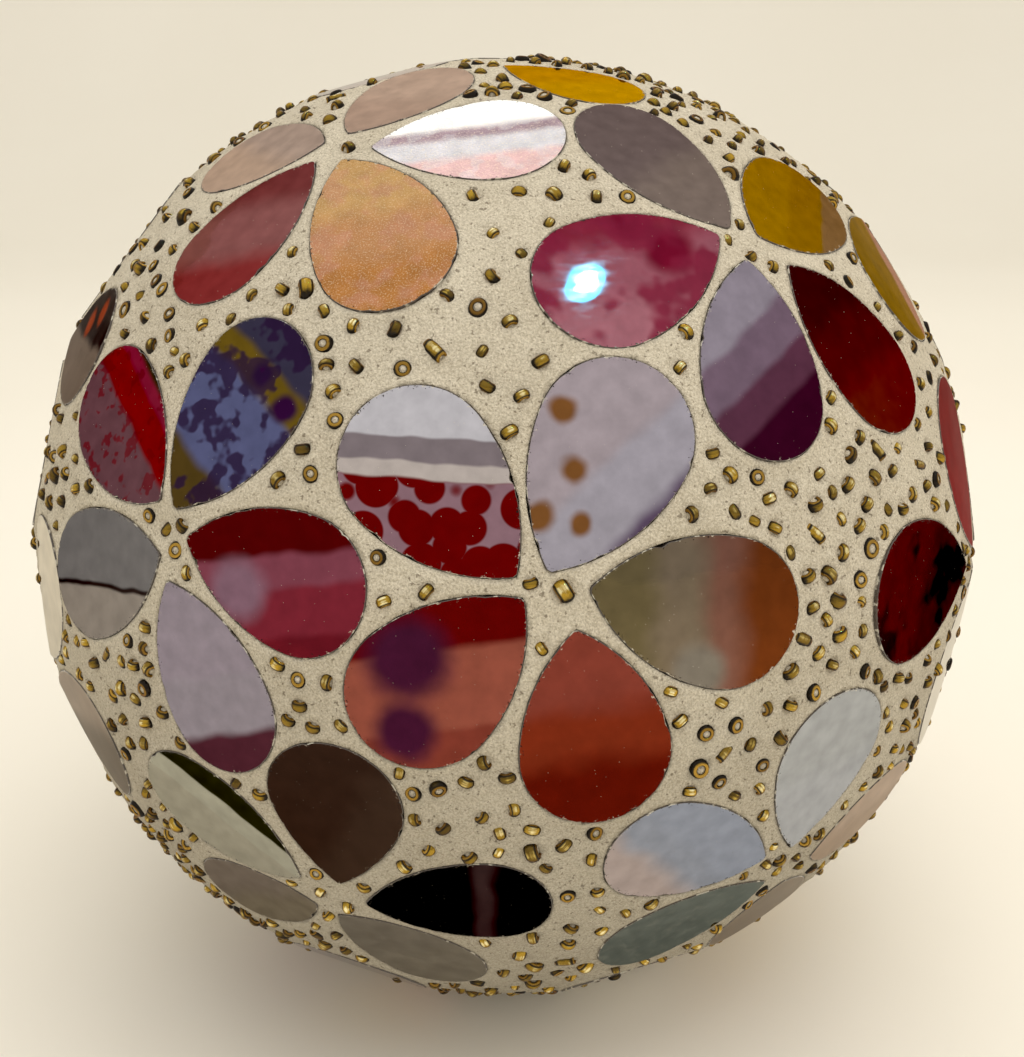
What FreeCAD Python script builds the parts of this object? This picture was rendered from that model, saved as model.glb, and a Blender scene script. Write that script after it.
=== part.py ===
"""Mosaic mirror ball: a hollow ball under grout, mirror petals set as flowers, and glass beads.

Frame: millimetres, +Z up, origin at the centre of the felt pad's underside, front towards -Y.
Directions on the ball are a latitude and a longitude in degrees; longitude 0 is the front.
"""
import FreeCAD, Part
import math
import os
import random
from collections import namedtuple

# Driving dimensions
PETAL_TOP = 88.6          # the ball's centre to the plane of a petal's mirror face
GLASS = 2.0               # thickness of the mirror glass
GROUT_RADIUS = 89.3       # outside of the grout
CORE_RADIUS = 85.8        # outside of the hollow ball that carries everything
CORE_WALL = 2.5
LAP_HEIGHT = 5.0          # overlap of the two core halves
LAP_GAP = 0.1
FOOT_RADIUS = 22.0        # flat that the ball stands on
FOOT_GROUT = 2.0          # grout between the foot and the core's flat
PAD_RADIUS = 20.0
PAD_THICKNESS = 1.2
TIP_HALF_ANGLE = 54.0     # half of the angle at a petal's point, in degrees
ADHESIVE_INSET = 1.5      # how far the adhesive under a petal stays back from its edge
ADHESIVE_REACH = 4.0      # from the glass down past the core's surface at a bed's lowest point
WINDOW_TOP = 92.0         # the cutters for the petals' windows end out here

# Beads: outside radius, length, hole radius, end face radius, and how many of a hundred
Bead = namedtuple("Bead", "radius length hole face share")
BEADS = {
    "small": Bead(1.5, 1.75, 0.6, 0.95, 87),
    "large": Bead(1.9, 2.3, 0.8, 1.25, 9),
    "bugle": Bead(1.0, 3.6, 0.4, 0.8, 4),
}
BULGE_BANDS = 5           # cones that make up a bead's rounded side
BEAD_TRIES = 60000
BEAD_SEED = 12
BEAD_ROOM = 0.1           # least gap between two beads, or a bead and a petal
PETAL_SPREAD = 17.0       # a bead further than this from a petal's normal, in degrees, is clear of it
FOOT_ROOM = 3.0           # a bead's centre to the edge of the foot
STANDING_SHARE = 0.16     # part of the beads that stand with the hole outwards
STANDING_TILT = (0, 22)   # hole's lean away from the ball's normal, in degrees
LYING_TILT = (60, 100)
SINK = (0.2, 0.62)        # depth of a bead's centre in the grout, as a part of its half height

# Bead centres are closest and widest apart by this much, in waves over the ball. A wave has a number
# and a phase along one axis; the cross wave has numbers along X and Z, and its height.
BEAD_SPACING = (3.05, 4.7)
WAVE_X = (5.1, 1.3)
WAVE_Y = (6.3, 0.4)
CROSS_WAVE = (4.0, 11.0, 0.6)

FOOT_DISTANCE = math.sqrt(GROUT_RADIUS ** 2 - FOOT_RADIUS ** 2)
CORE_FLAT = FOOT_DISTANCE - FOOT_GROUT
CENTRE_HEIGHT = FOOT_DISTANCE + PAD_THICKNESS
CENTRE = FreeCAD.Vector(0, 0, CENTRE_HEIGHT)
UP = FreeCAD.Vector(0, 0, 1)

# A petal points at its flower's centre. bearing is clockwise from up as seen from outside, gap is
# from the flower's centre to the petal's point, and turn swings the petal about its own middle.
Petal = namedtuple("Petal", "bearing gap length width turn")
Flower = namedtuple("Flower", "latitude longitude petals")


PLAIN_PETAL = Petal(0, 4, 31, 21, 0)
FIFTH_TURN = 360 / 5


def regular_flower(latitude, longitude, bearing, places=range(5)):
    """Flower of equal petals a fifth of a turn apart, with only some of its places filled."""
    petals = [PLAIN_PETAL._replace(bearing=bearing + FIFTH_TURN * place) for place in places]
    return Flower(latitude, longitude, petals)


FLOWERS = [
    # Front: set by hand, so no two petals are quite alike
    Flower(14, 4, [
        Petal(26, 1, 31.5, 22, 3),
        Petal(102, 5, 32, 21.5, 1),
        Petal(164, 6.5, 30, 21.5, 6),
        Petal(229, 3.5, 30.5, 21.5, -3),
        Petal(311, 3.5, 31, 21.5, 8),
    ]),
    Flower(15, -33, [
        Petal(18, 3.5, 31, 20.5, 5),
        Petal(97, 2.5, 29.5, 20, 3),
        Petal(161, 5.5, 30, 20, -8),
        Petal(243, 2.5, 31, 20, 7),
        Petal(310, 5, 31, 20, -6),
    ]),
    Flower(57, -32, [
        Petal(5, 3.5, 27, 19.5, 0),
        Petal(69, 6, 29.5, 21.5, -8),
        Petal(133, 4.5, 32, 20.5, 1),
        Petal(202, 3.5, 29.5, 19.5, 1),
        Petal(274, 2.5, 27, 18.5, -4),
    ]),
    Flower(44, 33, [
        Petal(345, 2.5, 31, 20, 3),
        Petal(65, 3, 30, 20, -2),
        Petal(139, 7, 31.5, 20.5, 6),
        Petal(197, 3, 31, 20.5, -2),
        Petal(267, 3.5, 31.5, 21, -6),
    ]),
    Flower(-22, -18, [
        Petal(9, 5, 27, 21, -4),
        Petal(85, 5, 28.5, 18.5, 3),
        Petal(149, 2.5, 28, 19, -8),
        Petal(247, 4, 25, 16.5, 3),
        Petal(302, 6, 30, 17, -7),
    ]),
    Flower(-22, 33, [
        Petal(3, 5, 29, 22, 8),
        Petal(91, 5, 29, 19, 0),
        Petal(164, 5, 28, 20, 0),
        Petal(237, 4, 29.5, 18.5, -3),
        Petal(294, 8, 29.5, 19.5, -8),
    ]),
    Flower(4, 66, [
        Petal(350, 2.5, 31, 20, 4),
        Petal(58, 4, 31, 21, 0),
        Petal(130, 4, 31, 21, 0),
        Petal(204, 3.5, 30, 20, 3),
        Petal(279, 10, 34, 22, -3),
    ]),
    Flower(79, -18, [
        Petal(97, 5.5, 25, 19, 0),
        Petal(281, 4.5, 29, 20, 0),
        Petal(347, 4.5, 29, 20, 0),
    ]),
    # Sides, back and underside: regular flowers
    regular_flower(27, -80, 77),
    regular_flower(-10, -67, 28),
    regular_flower(-36, -98, 9),
    regular_flower(15, -121, 27),
    regular_flower(-22, -141, 0),
    regular_flower(53, -137, 54),
    regular_flower(12, -165, 36),
    regular_flower(56, 150, 27),
    regular_flower(-54, -173, 9),
    regular_flower(20, 127, 45),
    regular_flower(-18, 106, 63),
    regular_flower(-12, 163, 9),
    regular_flower(45, 81, 27, [0, 1, 2, 3]),
    regular_flower(-48, -43, 9, [1, 2, 3, 4]),
    regular_flower(-48, 42, 54, [0, 1, 2, 3]),
    regular_flower(-60, 110, 9, [0, 1, 4]),
]


def on_ball(latitude, longitude):
    """Unit vector from the ball's centre."""
    lat = math.radians(latitude)
    lon = math.radians(longitude)
    return FreeCAD.Vector(math.cos(lat) * math.sin(lon), -math.cos(lat) * math.cos(lon), math.sin(lat))


def petal_placement(flower, petal):
    """Placement whose X runs from the petal's point to its round end and whose Z faces outwards."""
    start = on_ball(flower.latitude, flower.longitude)
    east = UP.cross(start).normalize()
    north = start.cross(east)
    bearing = math.radians(petal.bearing)
    heading = east * math.sin(bearing) + north * math.cos(bearing)
    arc = (petal.gap + petal.length / 2) / PETAL_TOP
    normal = start * math.cos(arc) + heading * math.sin(arc)
    outwards = heading * math.cos(arc) - start * math.sin(arc)
    along = FreeCAD.Rotation(normal, -petal.turn).multVec(outwards)
    rotation = FreeCAD.Rotation(along, normal.cross(along), normal, "ZXY")
    return FreeCAD.Placement(CENTRE, rotation)


def side_arc(length, width):
    """Radius and centre of the arc that bounds one side of a teardrop centred on its middle."""
    end_radius = width / 2
    end_x = length - end_radius
    tip = math.radians(TIP_HALF_ANGLE)
    radius = (end_x ** 2 - end_radius ** 2) / (2 * (end_x * math.sin(tip) - end_radius))
    return radius, radius * math.sin(tip) - length / 2, -radius * math.cos(tip)


def petal_face(length, width, height):
    """Teardrop in the petal's own frame: two arcs from the point run into a round end."""
    radius, centre_x, centre_y = side_arc(length, width)
    tip_angle = math.atan2(-centre_y, -length / 2 - centre_x)
    join_angle = math.atan2(-centre_y, length / 2 - width / 2 - centre_x)

    def side_point(angle, sign):
        x = centre_x + radius * math.cos(angle)
        y = centre_y + radius * math.sin(angle)
        return FreeCAD.Vector(x, sign * y, height)

    half_way = (tip_angle + join_angle) / 2
    point = FreeCAD.Vector(-length / 2, 0, height)
    round_end = FreeCAD.Vector(length / 2, 0, height)
    left = side_point(join_angle, 1)
    right = side_point(join_angle, -1)
    edges = [
        Part.Arc(point, side_point(half_way, 1), left).toShape(),
        Part.Arc(left, round_end, right).toShape(),
        Part.Arc(right, side_point(half_way, -1), point).toShape(),
    ]
    return Part.Face(Part.Wire(edges))


def petal_prism(flower, petal, bottom, top, inset=0.0):
    """Prism on the petal's outline between two distances from the ball's centre."""
    face = petal_face(petal.length - 2 * inset, petal.width - 2 * inset, bottom)
    prism = face.extrude(UP * (top - bottom))
    prism.Placement = petal_placement(flower, petal)
    return prism


def petal_distance(petal, x, y):
    """Distance from the petal's outline to a point in its plane; negative inside."""
    radius, centre_x, centre_y = side_arc(petal.length, petal.width)
    end_x = petal.length / 2 - petal.width / 2
    tip_x = -petal.length / 2
    y = abs(y)
    angle = math.atan2(y - centre_y, x - centre_x)
    if angle < math.atan2(-centre_y, end_x - centre_x):
        return math.hypot(x - end_x, y) - petal.width / 2
    if angle > math.atan2(-centre_y, tip_x - centre_x):
        return math.hypot(x - tip_x, y)
    return math.hypot(x - centre_x, y - centre_y) - radius


def ball(radius, flat):
    """Solid ball about CENTRE, cut off flat at the given distance under its centre."""
    side = 4 * radius
    below = Part.makeBox(side, side, side)
    below.translate(FreeCAD.Vector(-side / 2, -side / 2, CENTRE_HEIGHT - flat - side))
    return Part.makeSphere(radius, CENTRE).cut(below)


def slab(bottom, top):
    """Wide slab between two heights above the ball's centre."""
    side = 4 * CORE_RADIUS
    box = Part.makeBox(side, side, top - bottom)
    box.translate(FreeCAD.Vector(-side / 2, -side / 2, CENTRE_HEIGHT + bottom))
    return box


def core_halves(core):
    """Two half shells that meet in a lap joint: the upper one's lip stands inside the lower one."""
    shell = core.cut(ball(CORE_RADIUS - CORE_WALL, CORE_FLAT - CORE_WALL))
    lap_radius = CORE_RADIUS - CORE_WALL / 2
    lip = shell.common(slab(-LAP_HEIGHT, 0)).common(Part.makeCylinder(
        lap_radius - LAP_GAP, 4 * CORE_RADIUS, FreeCAD.Vector(0, 0, -CORE_RADIUS)))
    upper = shell.common(slab(0, 2 * CORE_RADIUS)).fuse(lip).removeSplitter()
    socket = Part.makeCylinder(
        lap_radius, LAP_HEIGHT + LAP_GAP, FreeCAD.Vector(0, 0, CENTRE_HEIGHT - LAP_HEIGHT - LAP_GAP))
    lower = shell.common(slab(-2 * CORE_RADIUS, 0)).cut(socket)
    return upper, lower


def glass_petals(flower):
    bottom = PETAL_TOP - GLASS
    return [petal_prism(flower, petal, bottom, PETAL_TOP) for petal in flower.petals]


def adhesive_beds(flower, core):
    """Bed under each petal, from the round core up to the flat glass."""
    top = PETAL_TOP - GLASS
    bottom = top - ADHESIVE_REACH
    return [petal_prism(flower, petal, bottom, top, ADHESIVE_INSET).cut(core) for petal in flower.petals]


def grout_skin(core, beds):
    """Grout over the core, open at every petal and around the adhesive."""
    windows = []
    for flower in FLOWERS:
        for petal in flower.petals:
            windows.append(petal_prism(flower, petal, PETAL_TOP - GLASS, WINDOW_TOP))
    skin = ball(GROUT_RADIUS, FOOT_DISTANCE).cut(core)
    return skin.cut(windows).cut(beds)


def bead_shape(bead):
    """Short tube about Z whose side is rounded in bands."""
    half = bead.length / 2
    bulge = bead.radius - bead.face
    arc_radius = (half ** 2 + bulge ** 2) / (2 * bulge)
    half_angle = math.asin(half / arc_radius)
    corners = [FreeCAD.Vector(bead.hole, 0, -half)]
    for step in range(BULGE_BANDS + 1):
        angle = half_angle * (2 * step / BULGE_BANDS - 1)
        x = bead.radius - arc_radius * (1 - math.cos(angle))
        corners.append(FreeCAD.Vector(x, 0, arc_radius * math.sin(angle)))
    corners.append(FreeCAD.Vector(bead.hole, 0, half))
    outline = Part.makePolygon(corners + corners[:1])
    return Part.Face(outline).revolve(FreeCAD.Vector(), UP, 360)


def local_spacing(direction):
    """Bead spacing at a place: beads crowd together in some patches and thin out in others."""
    wave = math.sin(WAVE_X[0] * direction.x + WAVE_X[1]) * math.sin(WAVE_Y[0] * direction.y + WAVE_Y[1])
    wave += CROSS_WAVE[2] * math.sin(CROSS_WAVE[0] * direction.x + CROSS_WAVE[1] * direction.z)
    part = 0.5 + 0.5 * max(-1, min(1, wave))
    return BEAD_SPACING[0] + (BEAD_SPACING[1] - BEAD_SPACING[0]) * part


def reach_of(kind):
    """Furthest that a bead of this kind spreads from its centre along the grout."""
    return max(BEADS[kind].radius, BEADS[kind].length / 2)


def clear_of_petals(direction, frames, room):
    """Whether every petal is at least this far from the place in this direction."""
    near = math.cos(math.radians(PETAL_SPREAD))
    for petal, along, across, normal in frames:
        facing = direction.dot(normal)
        if facing < near:
            continue
        reach = PETAL_TOP / facing
        x = reach * direction.dot(along)
        y = reach * direction.dot(across)
        if petal_distance(petal, x, y) < room:
            return False
    return True


def bead_places(rng):
    """Direction and kind of each bead, clear of the petals, the foot and the beads before it."""
    frames = []
    for flower in FLOWERS:
        for petal in flower.petals:
            turn = petal_placement(flower, petal).Rotation
            axes = [turn.multVec(axis) for axis in (FreeCAD.Vector(1, 0, 0), FreeCAD.Vector(0, 1, 0), UP)]
            frames.append((petal, *axes))
    lowest = -math.cos(math.asin((FOOT_RADIUS + FOOT_ROOM) / GROUT_RADIUS))
    shares = [bead.share for bead in BEADS.values()]
    places = []
    for _ in range(BEAD_TRIES):
        direction = on_ball(math.degrees(math.asin(rng.uniform(-1, 1))), rng.uniform(-180, 180))
        kind = rng.choices(list(BEADS), shares)[0]
        room = reach_of(kind) + BEAD_ROOM
        closeness = {}
        for other in BEADS:
            apart = max(local_spacing(direction), room + reach_of(other))
            closeness[other] = math.cos(apart / GROUT_RADIUS)
        if direction.z < lowest:
            continue
        if any(direction.dot(place) > closeness[other] for place, other in places):
            continue
        if clear_of_petals(direction, frames, room):
            places.append((direction, kind))
    return places


def bead_placement(direction, bead, rng):
    """Most beads lie on their side half sunk in the grout; some stand with the hole outwards."""
    roll = FreeCAD.Rotation(UP, direction).multiply(FreeCAD.Rotation(UP, rng.uniform(0, 360)))
    standing = rng.random() < STANDING_SHARE and bead.radius > bead.length / 2
    tilt = rng.uniform(*STANDING_TILT) if standing else rng.uniform(*LYING_TILT)
    height = bead.length / 2 if standing else bead.radius
    sink = height * rng.uniform(*SINK)
    rotation = roll.multiply(FreeCAD.Rotation(FreeCAD.Vector(1, 0, 0), tilt))
    return FreeCAD.Placement(CENTRE + direction * (GROUT_RADIUS - sink), rotation)


def quarter_of(direction):
    """Which quarter of the ball faces this direction."""
    if abs(direction.x) > abs(direction.y):
        return "right" if direction.x > 0 else "left"
    return "back" if direction.y > 0 else "front"


def all_beads():
    """Beads by node: the small ones by the quarter of the ball, and the others by kind."""
    rng = random.Random(BEAD_SEED)
    shapes = {kind: bead_shape(bead) for kind, bead in BEADS.items()}
    groups = {}
    for direction, kind in bead_places(rng):
        solid = shapes[kind].copy()
        solid.Placement = bead_placement(direction, BEADS[kind], rng)
        node = kind + "_beads"
        if kind == "small":
            node += "_" + quarter_of(direction)
        groups.setdefault(node, []).append(solid)
    return groups


def export(node, solids):
    Part.makeCompound(solids).exportStep("parts/" + node + ".step")
    volume = sum(solid.Volume for solid in solids)
    print("%-24s %5d solids %10.0f mm3" % (node, len(solids), volume))


def main():
    os.makedirs("parts", exist_ok=True)
    core = ball(CORE_RADIUS, CORE_FLAT)
    upper, lower = core_halves(core)
    export("core_upper_half", upper.Solids)
    export("core_lower_half", lower.Solids)
    beds = []
    for number, flower in enumerate(FLOWERS, 1):
        export("flower_%02d_petals" % number, glass_petals(flower))
        beds += adhesive_beds(flower, core)
    export("petal_adhesive", beds)
    export("grout", grout_skin(core, beds).Solids)
    for node, beads in sorted(all_beads().items()):
        export(node, beads)
    export("felt_pad", [Part.makeCylinder(PAD_RADIUS, PAD_THICKNESS)])


main()
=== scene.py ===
"""Looks of the mosaic mirror ball: grout skin, mirror petals, glass beads and felt pad on the CAD frame.

Lengths are metres. Each petal, bead and the ball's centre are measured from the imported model.
"""

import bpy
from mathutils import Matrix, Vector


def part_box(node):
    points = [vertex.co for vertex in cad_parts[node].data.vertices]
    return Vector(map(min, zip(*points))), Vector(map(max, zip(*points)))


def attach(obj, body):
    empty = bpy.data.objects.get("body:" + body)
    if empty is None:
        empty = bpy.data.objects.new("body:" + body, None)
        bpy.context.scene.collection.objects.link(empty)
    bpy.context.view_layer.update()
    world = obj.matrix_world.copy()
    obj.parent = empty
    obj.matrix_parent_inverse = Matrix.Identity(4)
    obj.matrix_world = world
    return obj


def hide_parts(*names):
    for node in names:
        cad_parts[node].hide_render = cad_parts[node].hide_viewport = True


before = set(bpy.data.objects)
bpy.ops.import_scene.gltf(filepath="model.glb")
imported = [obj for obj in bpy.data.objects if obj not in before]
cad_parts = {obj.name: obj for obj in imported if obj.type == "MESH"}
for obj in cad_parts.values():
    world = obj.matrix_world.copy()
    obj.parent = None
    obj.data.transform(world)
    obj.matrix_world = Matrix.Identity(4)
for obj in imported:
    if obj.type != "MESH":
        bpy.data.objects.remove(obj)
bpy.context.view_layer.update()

import math
import random
from collections import namedtuple

import bpy
import numpy as np
from mathutils import Vector, noise

MM = 0.001
SEED = 5
UP = np.array([0, 0, 1.0])

# Camera: the ball's centre sits close to the middle of a 1024 by 1057 picture
CAMERA_ELEVATION = math.radians(19)
CAMERA_DISTANCE = 0.2502
CAMERA_LENS = 41.7
CAMERA_SHIFT = (0.008, -0.0033)

# Petals
GLASS = 2.0 * MM
BLUNTING = 0.25 * MM              # how far the point of a petal is worn back
EDGE_WAVER = 0.04 * MM
TIP_HALF_ANGLE = math.radians(54)
SIDE_STEPS = 52
END_STEPS = 60
ARRIS = 0.1 * MM                  # ground edge between a petal's face and its side
RIM_RINGS = (0.45 * MM, 0.9 * MM, 1.6 * MM)

# Grout
GROUT_FREQUENCY = 60              # triangles along each edge of the icosahedron that the skin starts from
INNER_FREQUENCY = 12
OPEN_GROUND = -1.7 * MM           # edges further inside a petal than this aren't refined
NARROW = 1.5 * MM                 # strips of grout thinner than this are refined once more
NARROW_EDGE = -0.45 * MM
GROUT_GAP = 0.02 * MM
MENISCUS = 2.6 * MM               # how far from a petal the grout rises to meet the glass
GROUT_UNDER_GLASS = 0.03 * MM
GROUT_WAVES = [(0.16 * MM, 7), (0.12 * MM, 26), (0.05 * MM, 90)]   # height and fineness
UNDER_GLASS = 0.05 * MM           # the grout's floor under each plate
CORE_RADIUS = 85.8 * MM
TIGHTEST_GAP = 0.18               # widest gap beside a petal, as a part of the grout strip there
BEAD_NEAR = math.cos(math.radians(3))

# Beads: hole radius, end face radius and half length, each as a part of the outside radius
BeadForm = namedtuple("BeadForm", "hole face half")
BEAD_FORMS = {
    "small": BeadForm(0.40, 0.56, 0.58),
    "large": BeadForm(0.42, 0.58, 0.60),
    "bugle": BeadForm(0.40, 0.80, 1.78),
}
BEAD_SIDE_STEPS = 6
BEAD_TURNS = 16
HIGHLIGHT_LIFT = 0.35                # how far the light of a bead's painted highlight stripe leans up from straight outwards
PLUG_LEVEL = 0.9                  # how far out the grout in a bead's hole reaches
PLUG_DISH = 0.8                   # and how far its rim does, as a part of that
PLUG_TIGHT = 1.02                 # the plug's radius as a part of the hole's

# World colour from the horizon up, as the height of the view direction and a colour
WORLD_STOPS = [(0.0, "d8d2c8"), (0.25, "e2ddd4"), (0.6, "efece6"), (1.0, "f6f4f0")]
WORLD_STRENGTH = 1.0


def srgb(code):
    """Linear RGBA of a hex colour."""
    parts = [int(code[i:i + 2], 16) / 255 for i in (0, 2, 4)]
    linear = [c / 12.92 if c <= 0.04045 else ((c + 0.055) / 1.055) ** 2.4 for c in parts]
    return (*linear, 1.0)


def unit(vectors):
    """The vector, or each row of them, at length 1."""
    return vectors / np.linalg.norm(vectors, axis=-1, keepdims=True)


# ---------------------------------------------------------------- measuring the frame

def node_mesh(node):
    """Welded vertices (N, 3) and triangles (M, 3) of a CAD node."""
    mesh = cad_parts[node].data
    points = np.empty(len(mesh.vertices) * 3, np.float32)
    mesh.vertices.foreach_get("co", points)
    mesh.calc_loop_triangles()
    triangles = np.empty(len(mesh.loop_triangles) * 3, np.int32)
    mesh.loop_triangles.foreach_get("vertices", triangles)
    points = np.round(points.reshape(-1, 3).astype(float), 7)
    points, index = np.unique(points, axis=0, return_inverse=True)
    return points, index.reshape(-1)[triangles.reshape(-1, 3)]


def solids(node):
    """Each separate solid of a CAD node as corner points of its triangles, (M, 3, 3)."""
    points, triangles = node_mesh(node)
    label = np.arange(len(points))
    while True:
        lowest = label[triangles].min(axis=1)
        spread = label.copy()
        for corner in range(3):
            np.minimum.at(spread, triangles[:, corner], lowest)
        if np.array_equal(spread, label):
            break
        label = spread
    part = label[triangles[:, 0]]
    return [points[triangles[part == name]] for name in np.unique(part)]


def face_vectors(corners):
    """Normal of each triangle, with its area as the length."""
    return np.cross(corners[:, 1] - corners[:, 0], corners[:, 2] - corners[:, 0]) / 2


Plate = namedtuple("Plate", "node point normal along across length width")


def measure_plate(node, corners):
    """Mirror face of one petal: point is the middle of its length on that face."""
    vectors = face_vectors(corners)
    areas = np.linalg.norm(vectors, axis=1)
    centres = corners.mean(axis=1)
    middle = (centres * areas[:, None]).sum(axis=0) / areas.sum()
    outwards = unit(middle - np.array([0, 0, ROUGH_HEIGHT]))
    facing = vectors @ outwards > 0.9 * areas
    normal = unit(vectors[facing].sum(axis=0))
    points = corners.reshape(-1, 3)
    face = points[(points - middle) @ normal > 0]
    tip = face[np.argmax(np.linalg.norm(face - middle, axis=1))]
    along = middle - tip
    along = unit(along - normal * (along @ normal))
    across = np.cross(normal, along)
    length = ((face - tip) @ along).max()
    width = 2 * np.abs((face - tip) @ across).max()
    return Plate(node, tip + along * length / 2, normal, along, across, length, width)


def ball_centre(plates):
    """The point that every mirror face is equally far from, and that distance."""
    normals = np.array([plate.normal for plate in plates])
    reach = np.array([plate.normal @ plate.point for plate in plates])
    rows = np.column_stack([normals, np.ones(len(plates))])
    answer = np.linalg.lstsq(rows, reach, rcond=None)[0]
    return answer[:3], answer[3]


BeadPlace = namedtuple("BeadPlace", "point axis radius")


def measure_bead(corners):
    """Centre, hole axis and outside radius of one bead."""
    vectors = face_vectors(corners)
    areas = np.linalg.norm(vectors, axis=1)
    spread = (vectors[:, :, None] * vectors[:, None, :] / areas[:, None, None]).sum(axis=0)
    axis = np.linalg.eigh(spread)[1][:, 0]
    centres = corners.mean(axis=1)
    point = (centres * areas[:, None]).sum(axis=0) / areas.sum()
    offsets = corners.reshape(-1, 3) - point
    radius = np.linalg.norm(offsets - np.outer(offsets @ axis, axis), axis=1).max()
    return BeadPlace(point, axis, radius)


ROUGH_HEIGHT = (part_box("core_upper_half")[1].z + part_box("core_lower_half")[0].z) / 2
PETAL_NODES = sorted(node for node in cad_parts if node.startswith("flower_"))
BEAD_NODES = sorted(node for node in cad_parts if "beads" in node)
PLATES = [measure_plate(node, part) for node in PETAL_NODES for part in solids(node)]
CENTRE, PETAL_TOP = ball_centre(PLATES)
BEADS = {node: [measure_bead(part) for part in solids(node)] for node in BEAD_NODES}
GROUT_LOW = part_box("grout")[0]
GROUT_RADIUS = np.linalg.norm(node_mesh("grout")[0] - CENTRE, axis=1).max()
FOOT_DISTANCE = CENTRE[2] - GROUT_LOW.z


def outwards_at(point):
    """Direction of a point from the ball's centre."""
    return unit(point - CENTRE)


# ---------------------------------------------------------------- shader building

class Shader:
    """A material's node tree with short calls for the nodes that these finishes use."""

    def __init__(self, name):
        self.material = bpy.data.materials.new(name)
        self.material.use_nodes = True
        self.tree = self.material.node_tree
        self.surface = self.tree.nodes["Principled BSDF"]

    def node(self, kind, **settings):
        made = self.tree.nodes.new("ShaderNode" + kind)
        for key, value in settings.items():
            setattr(made, key, value)
        return made

    def feed(self, socket, value):
        if isinstance(value, bpy.types.NodeSocket):
            self.tree.links.new(value, socket)
        else:
            socket.default_value = value

    def fill(self, made, *values):
        for socket, value in zip(made.inputs, values):
            self.feed(socket, value)
        return made.outputs

    def math(self, operation, *values):
        return self.fill(self.node("Math", operation=operation), *values)[0]

    def times(self, first, second):
        return self.math("MULTIPLY", first, second)

    def plus(self, first, second):
        return self.math("ADD", first, second)

    def minus(self, first, second):
        return self.math("SUBTRACT", first, second)

    def around(self, value, middle, reach):
        """0 below the middle less reach, 1 above the middle and reach."""
        return self.step(value, self.minus(middle, reach), self.plus(middle, reach))

    def vector(self, operation, *values, out="Vector"):
        return self.fill(self.node("VectorMath", operation=operation), *values)[out]

    def split(self, value):
        return self.fill(self.node("SeparateXYZ"), value)[:3]

    def join(self, x, y, z):
        return self.fill(self.node("CombineXYZ"), x, y, z)[0]

    def step(self, value, low, high):
        """0 under low, 1 over high, smooth between."""
        return self.fill(self.node("MapRange", interpolation_type="SMOOTHSTEP"), value, low, high)[0]

    def scale(self, value, low, high, to_low, to_high):
        return self.fill(self.node("MapRange"), value, low, high, to_low, to_high)[0]

    def mix(self, part, first, second, blend="MIX"):
        made = self.node("Mix", data_type="RGBA", blend_type=blend)
        self.feed(made.inputs[0], part)
        self.feed(made.inputs[6], first)
        self.feed(made.inputs[7], second)
        return made.outputs[2]

    def attribute(self, name, out="Vector"):
        return self.node("Attribute", attribute_name=name).outputs[out]

    def place(self):
        return self.node("TexCoord").outputs["Object"]

    def noise(self, where, scale, detail=2.0, rough=0.5):
        made = self.node("TexNoise")
        self.feed(made.inputs["Vector"], where)
        self.feed(made.inputs["Scale"], scale)
        made.inputs["Detail"].default_value = detail
        made.inputs["Roughness"].default_value = rough
        return made.outputs["Fac"]

    def cells(self, where, scale):
        made = self.node("TexVoronoi")
        self.feed(made.inputs["Vector"], where)
        self.feed(made.inputs["Scale"], scale)
        return made.outputs["Distance"]

    def bump(self, height, distance, strength=1.0, under=None):
        made = self.node("Bump")
        made.inputs["Distance"].default_value = distance
        made.inputs["Strength"].default_value = strength
        self.feed(made.inputs["Height"], height)
        if under is not None:
            self.feed(made.inputs["Normal"], under)
        return made.outputs[0]

    def finish(self, **sockets):
        """Sets the surface's sockets; an underscore in a name stands for a space."""
        for name, value in sockets.items():
            self.feed(self.surface.inputs[name.replace("_", " ")], value)
        return self.material


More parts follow.
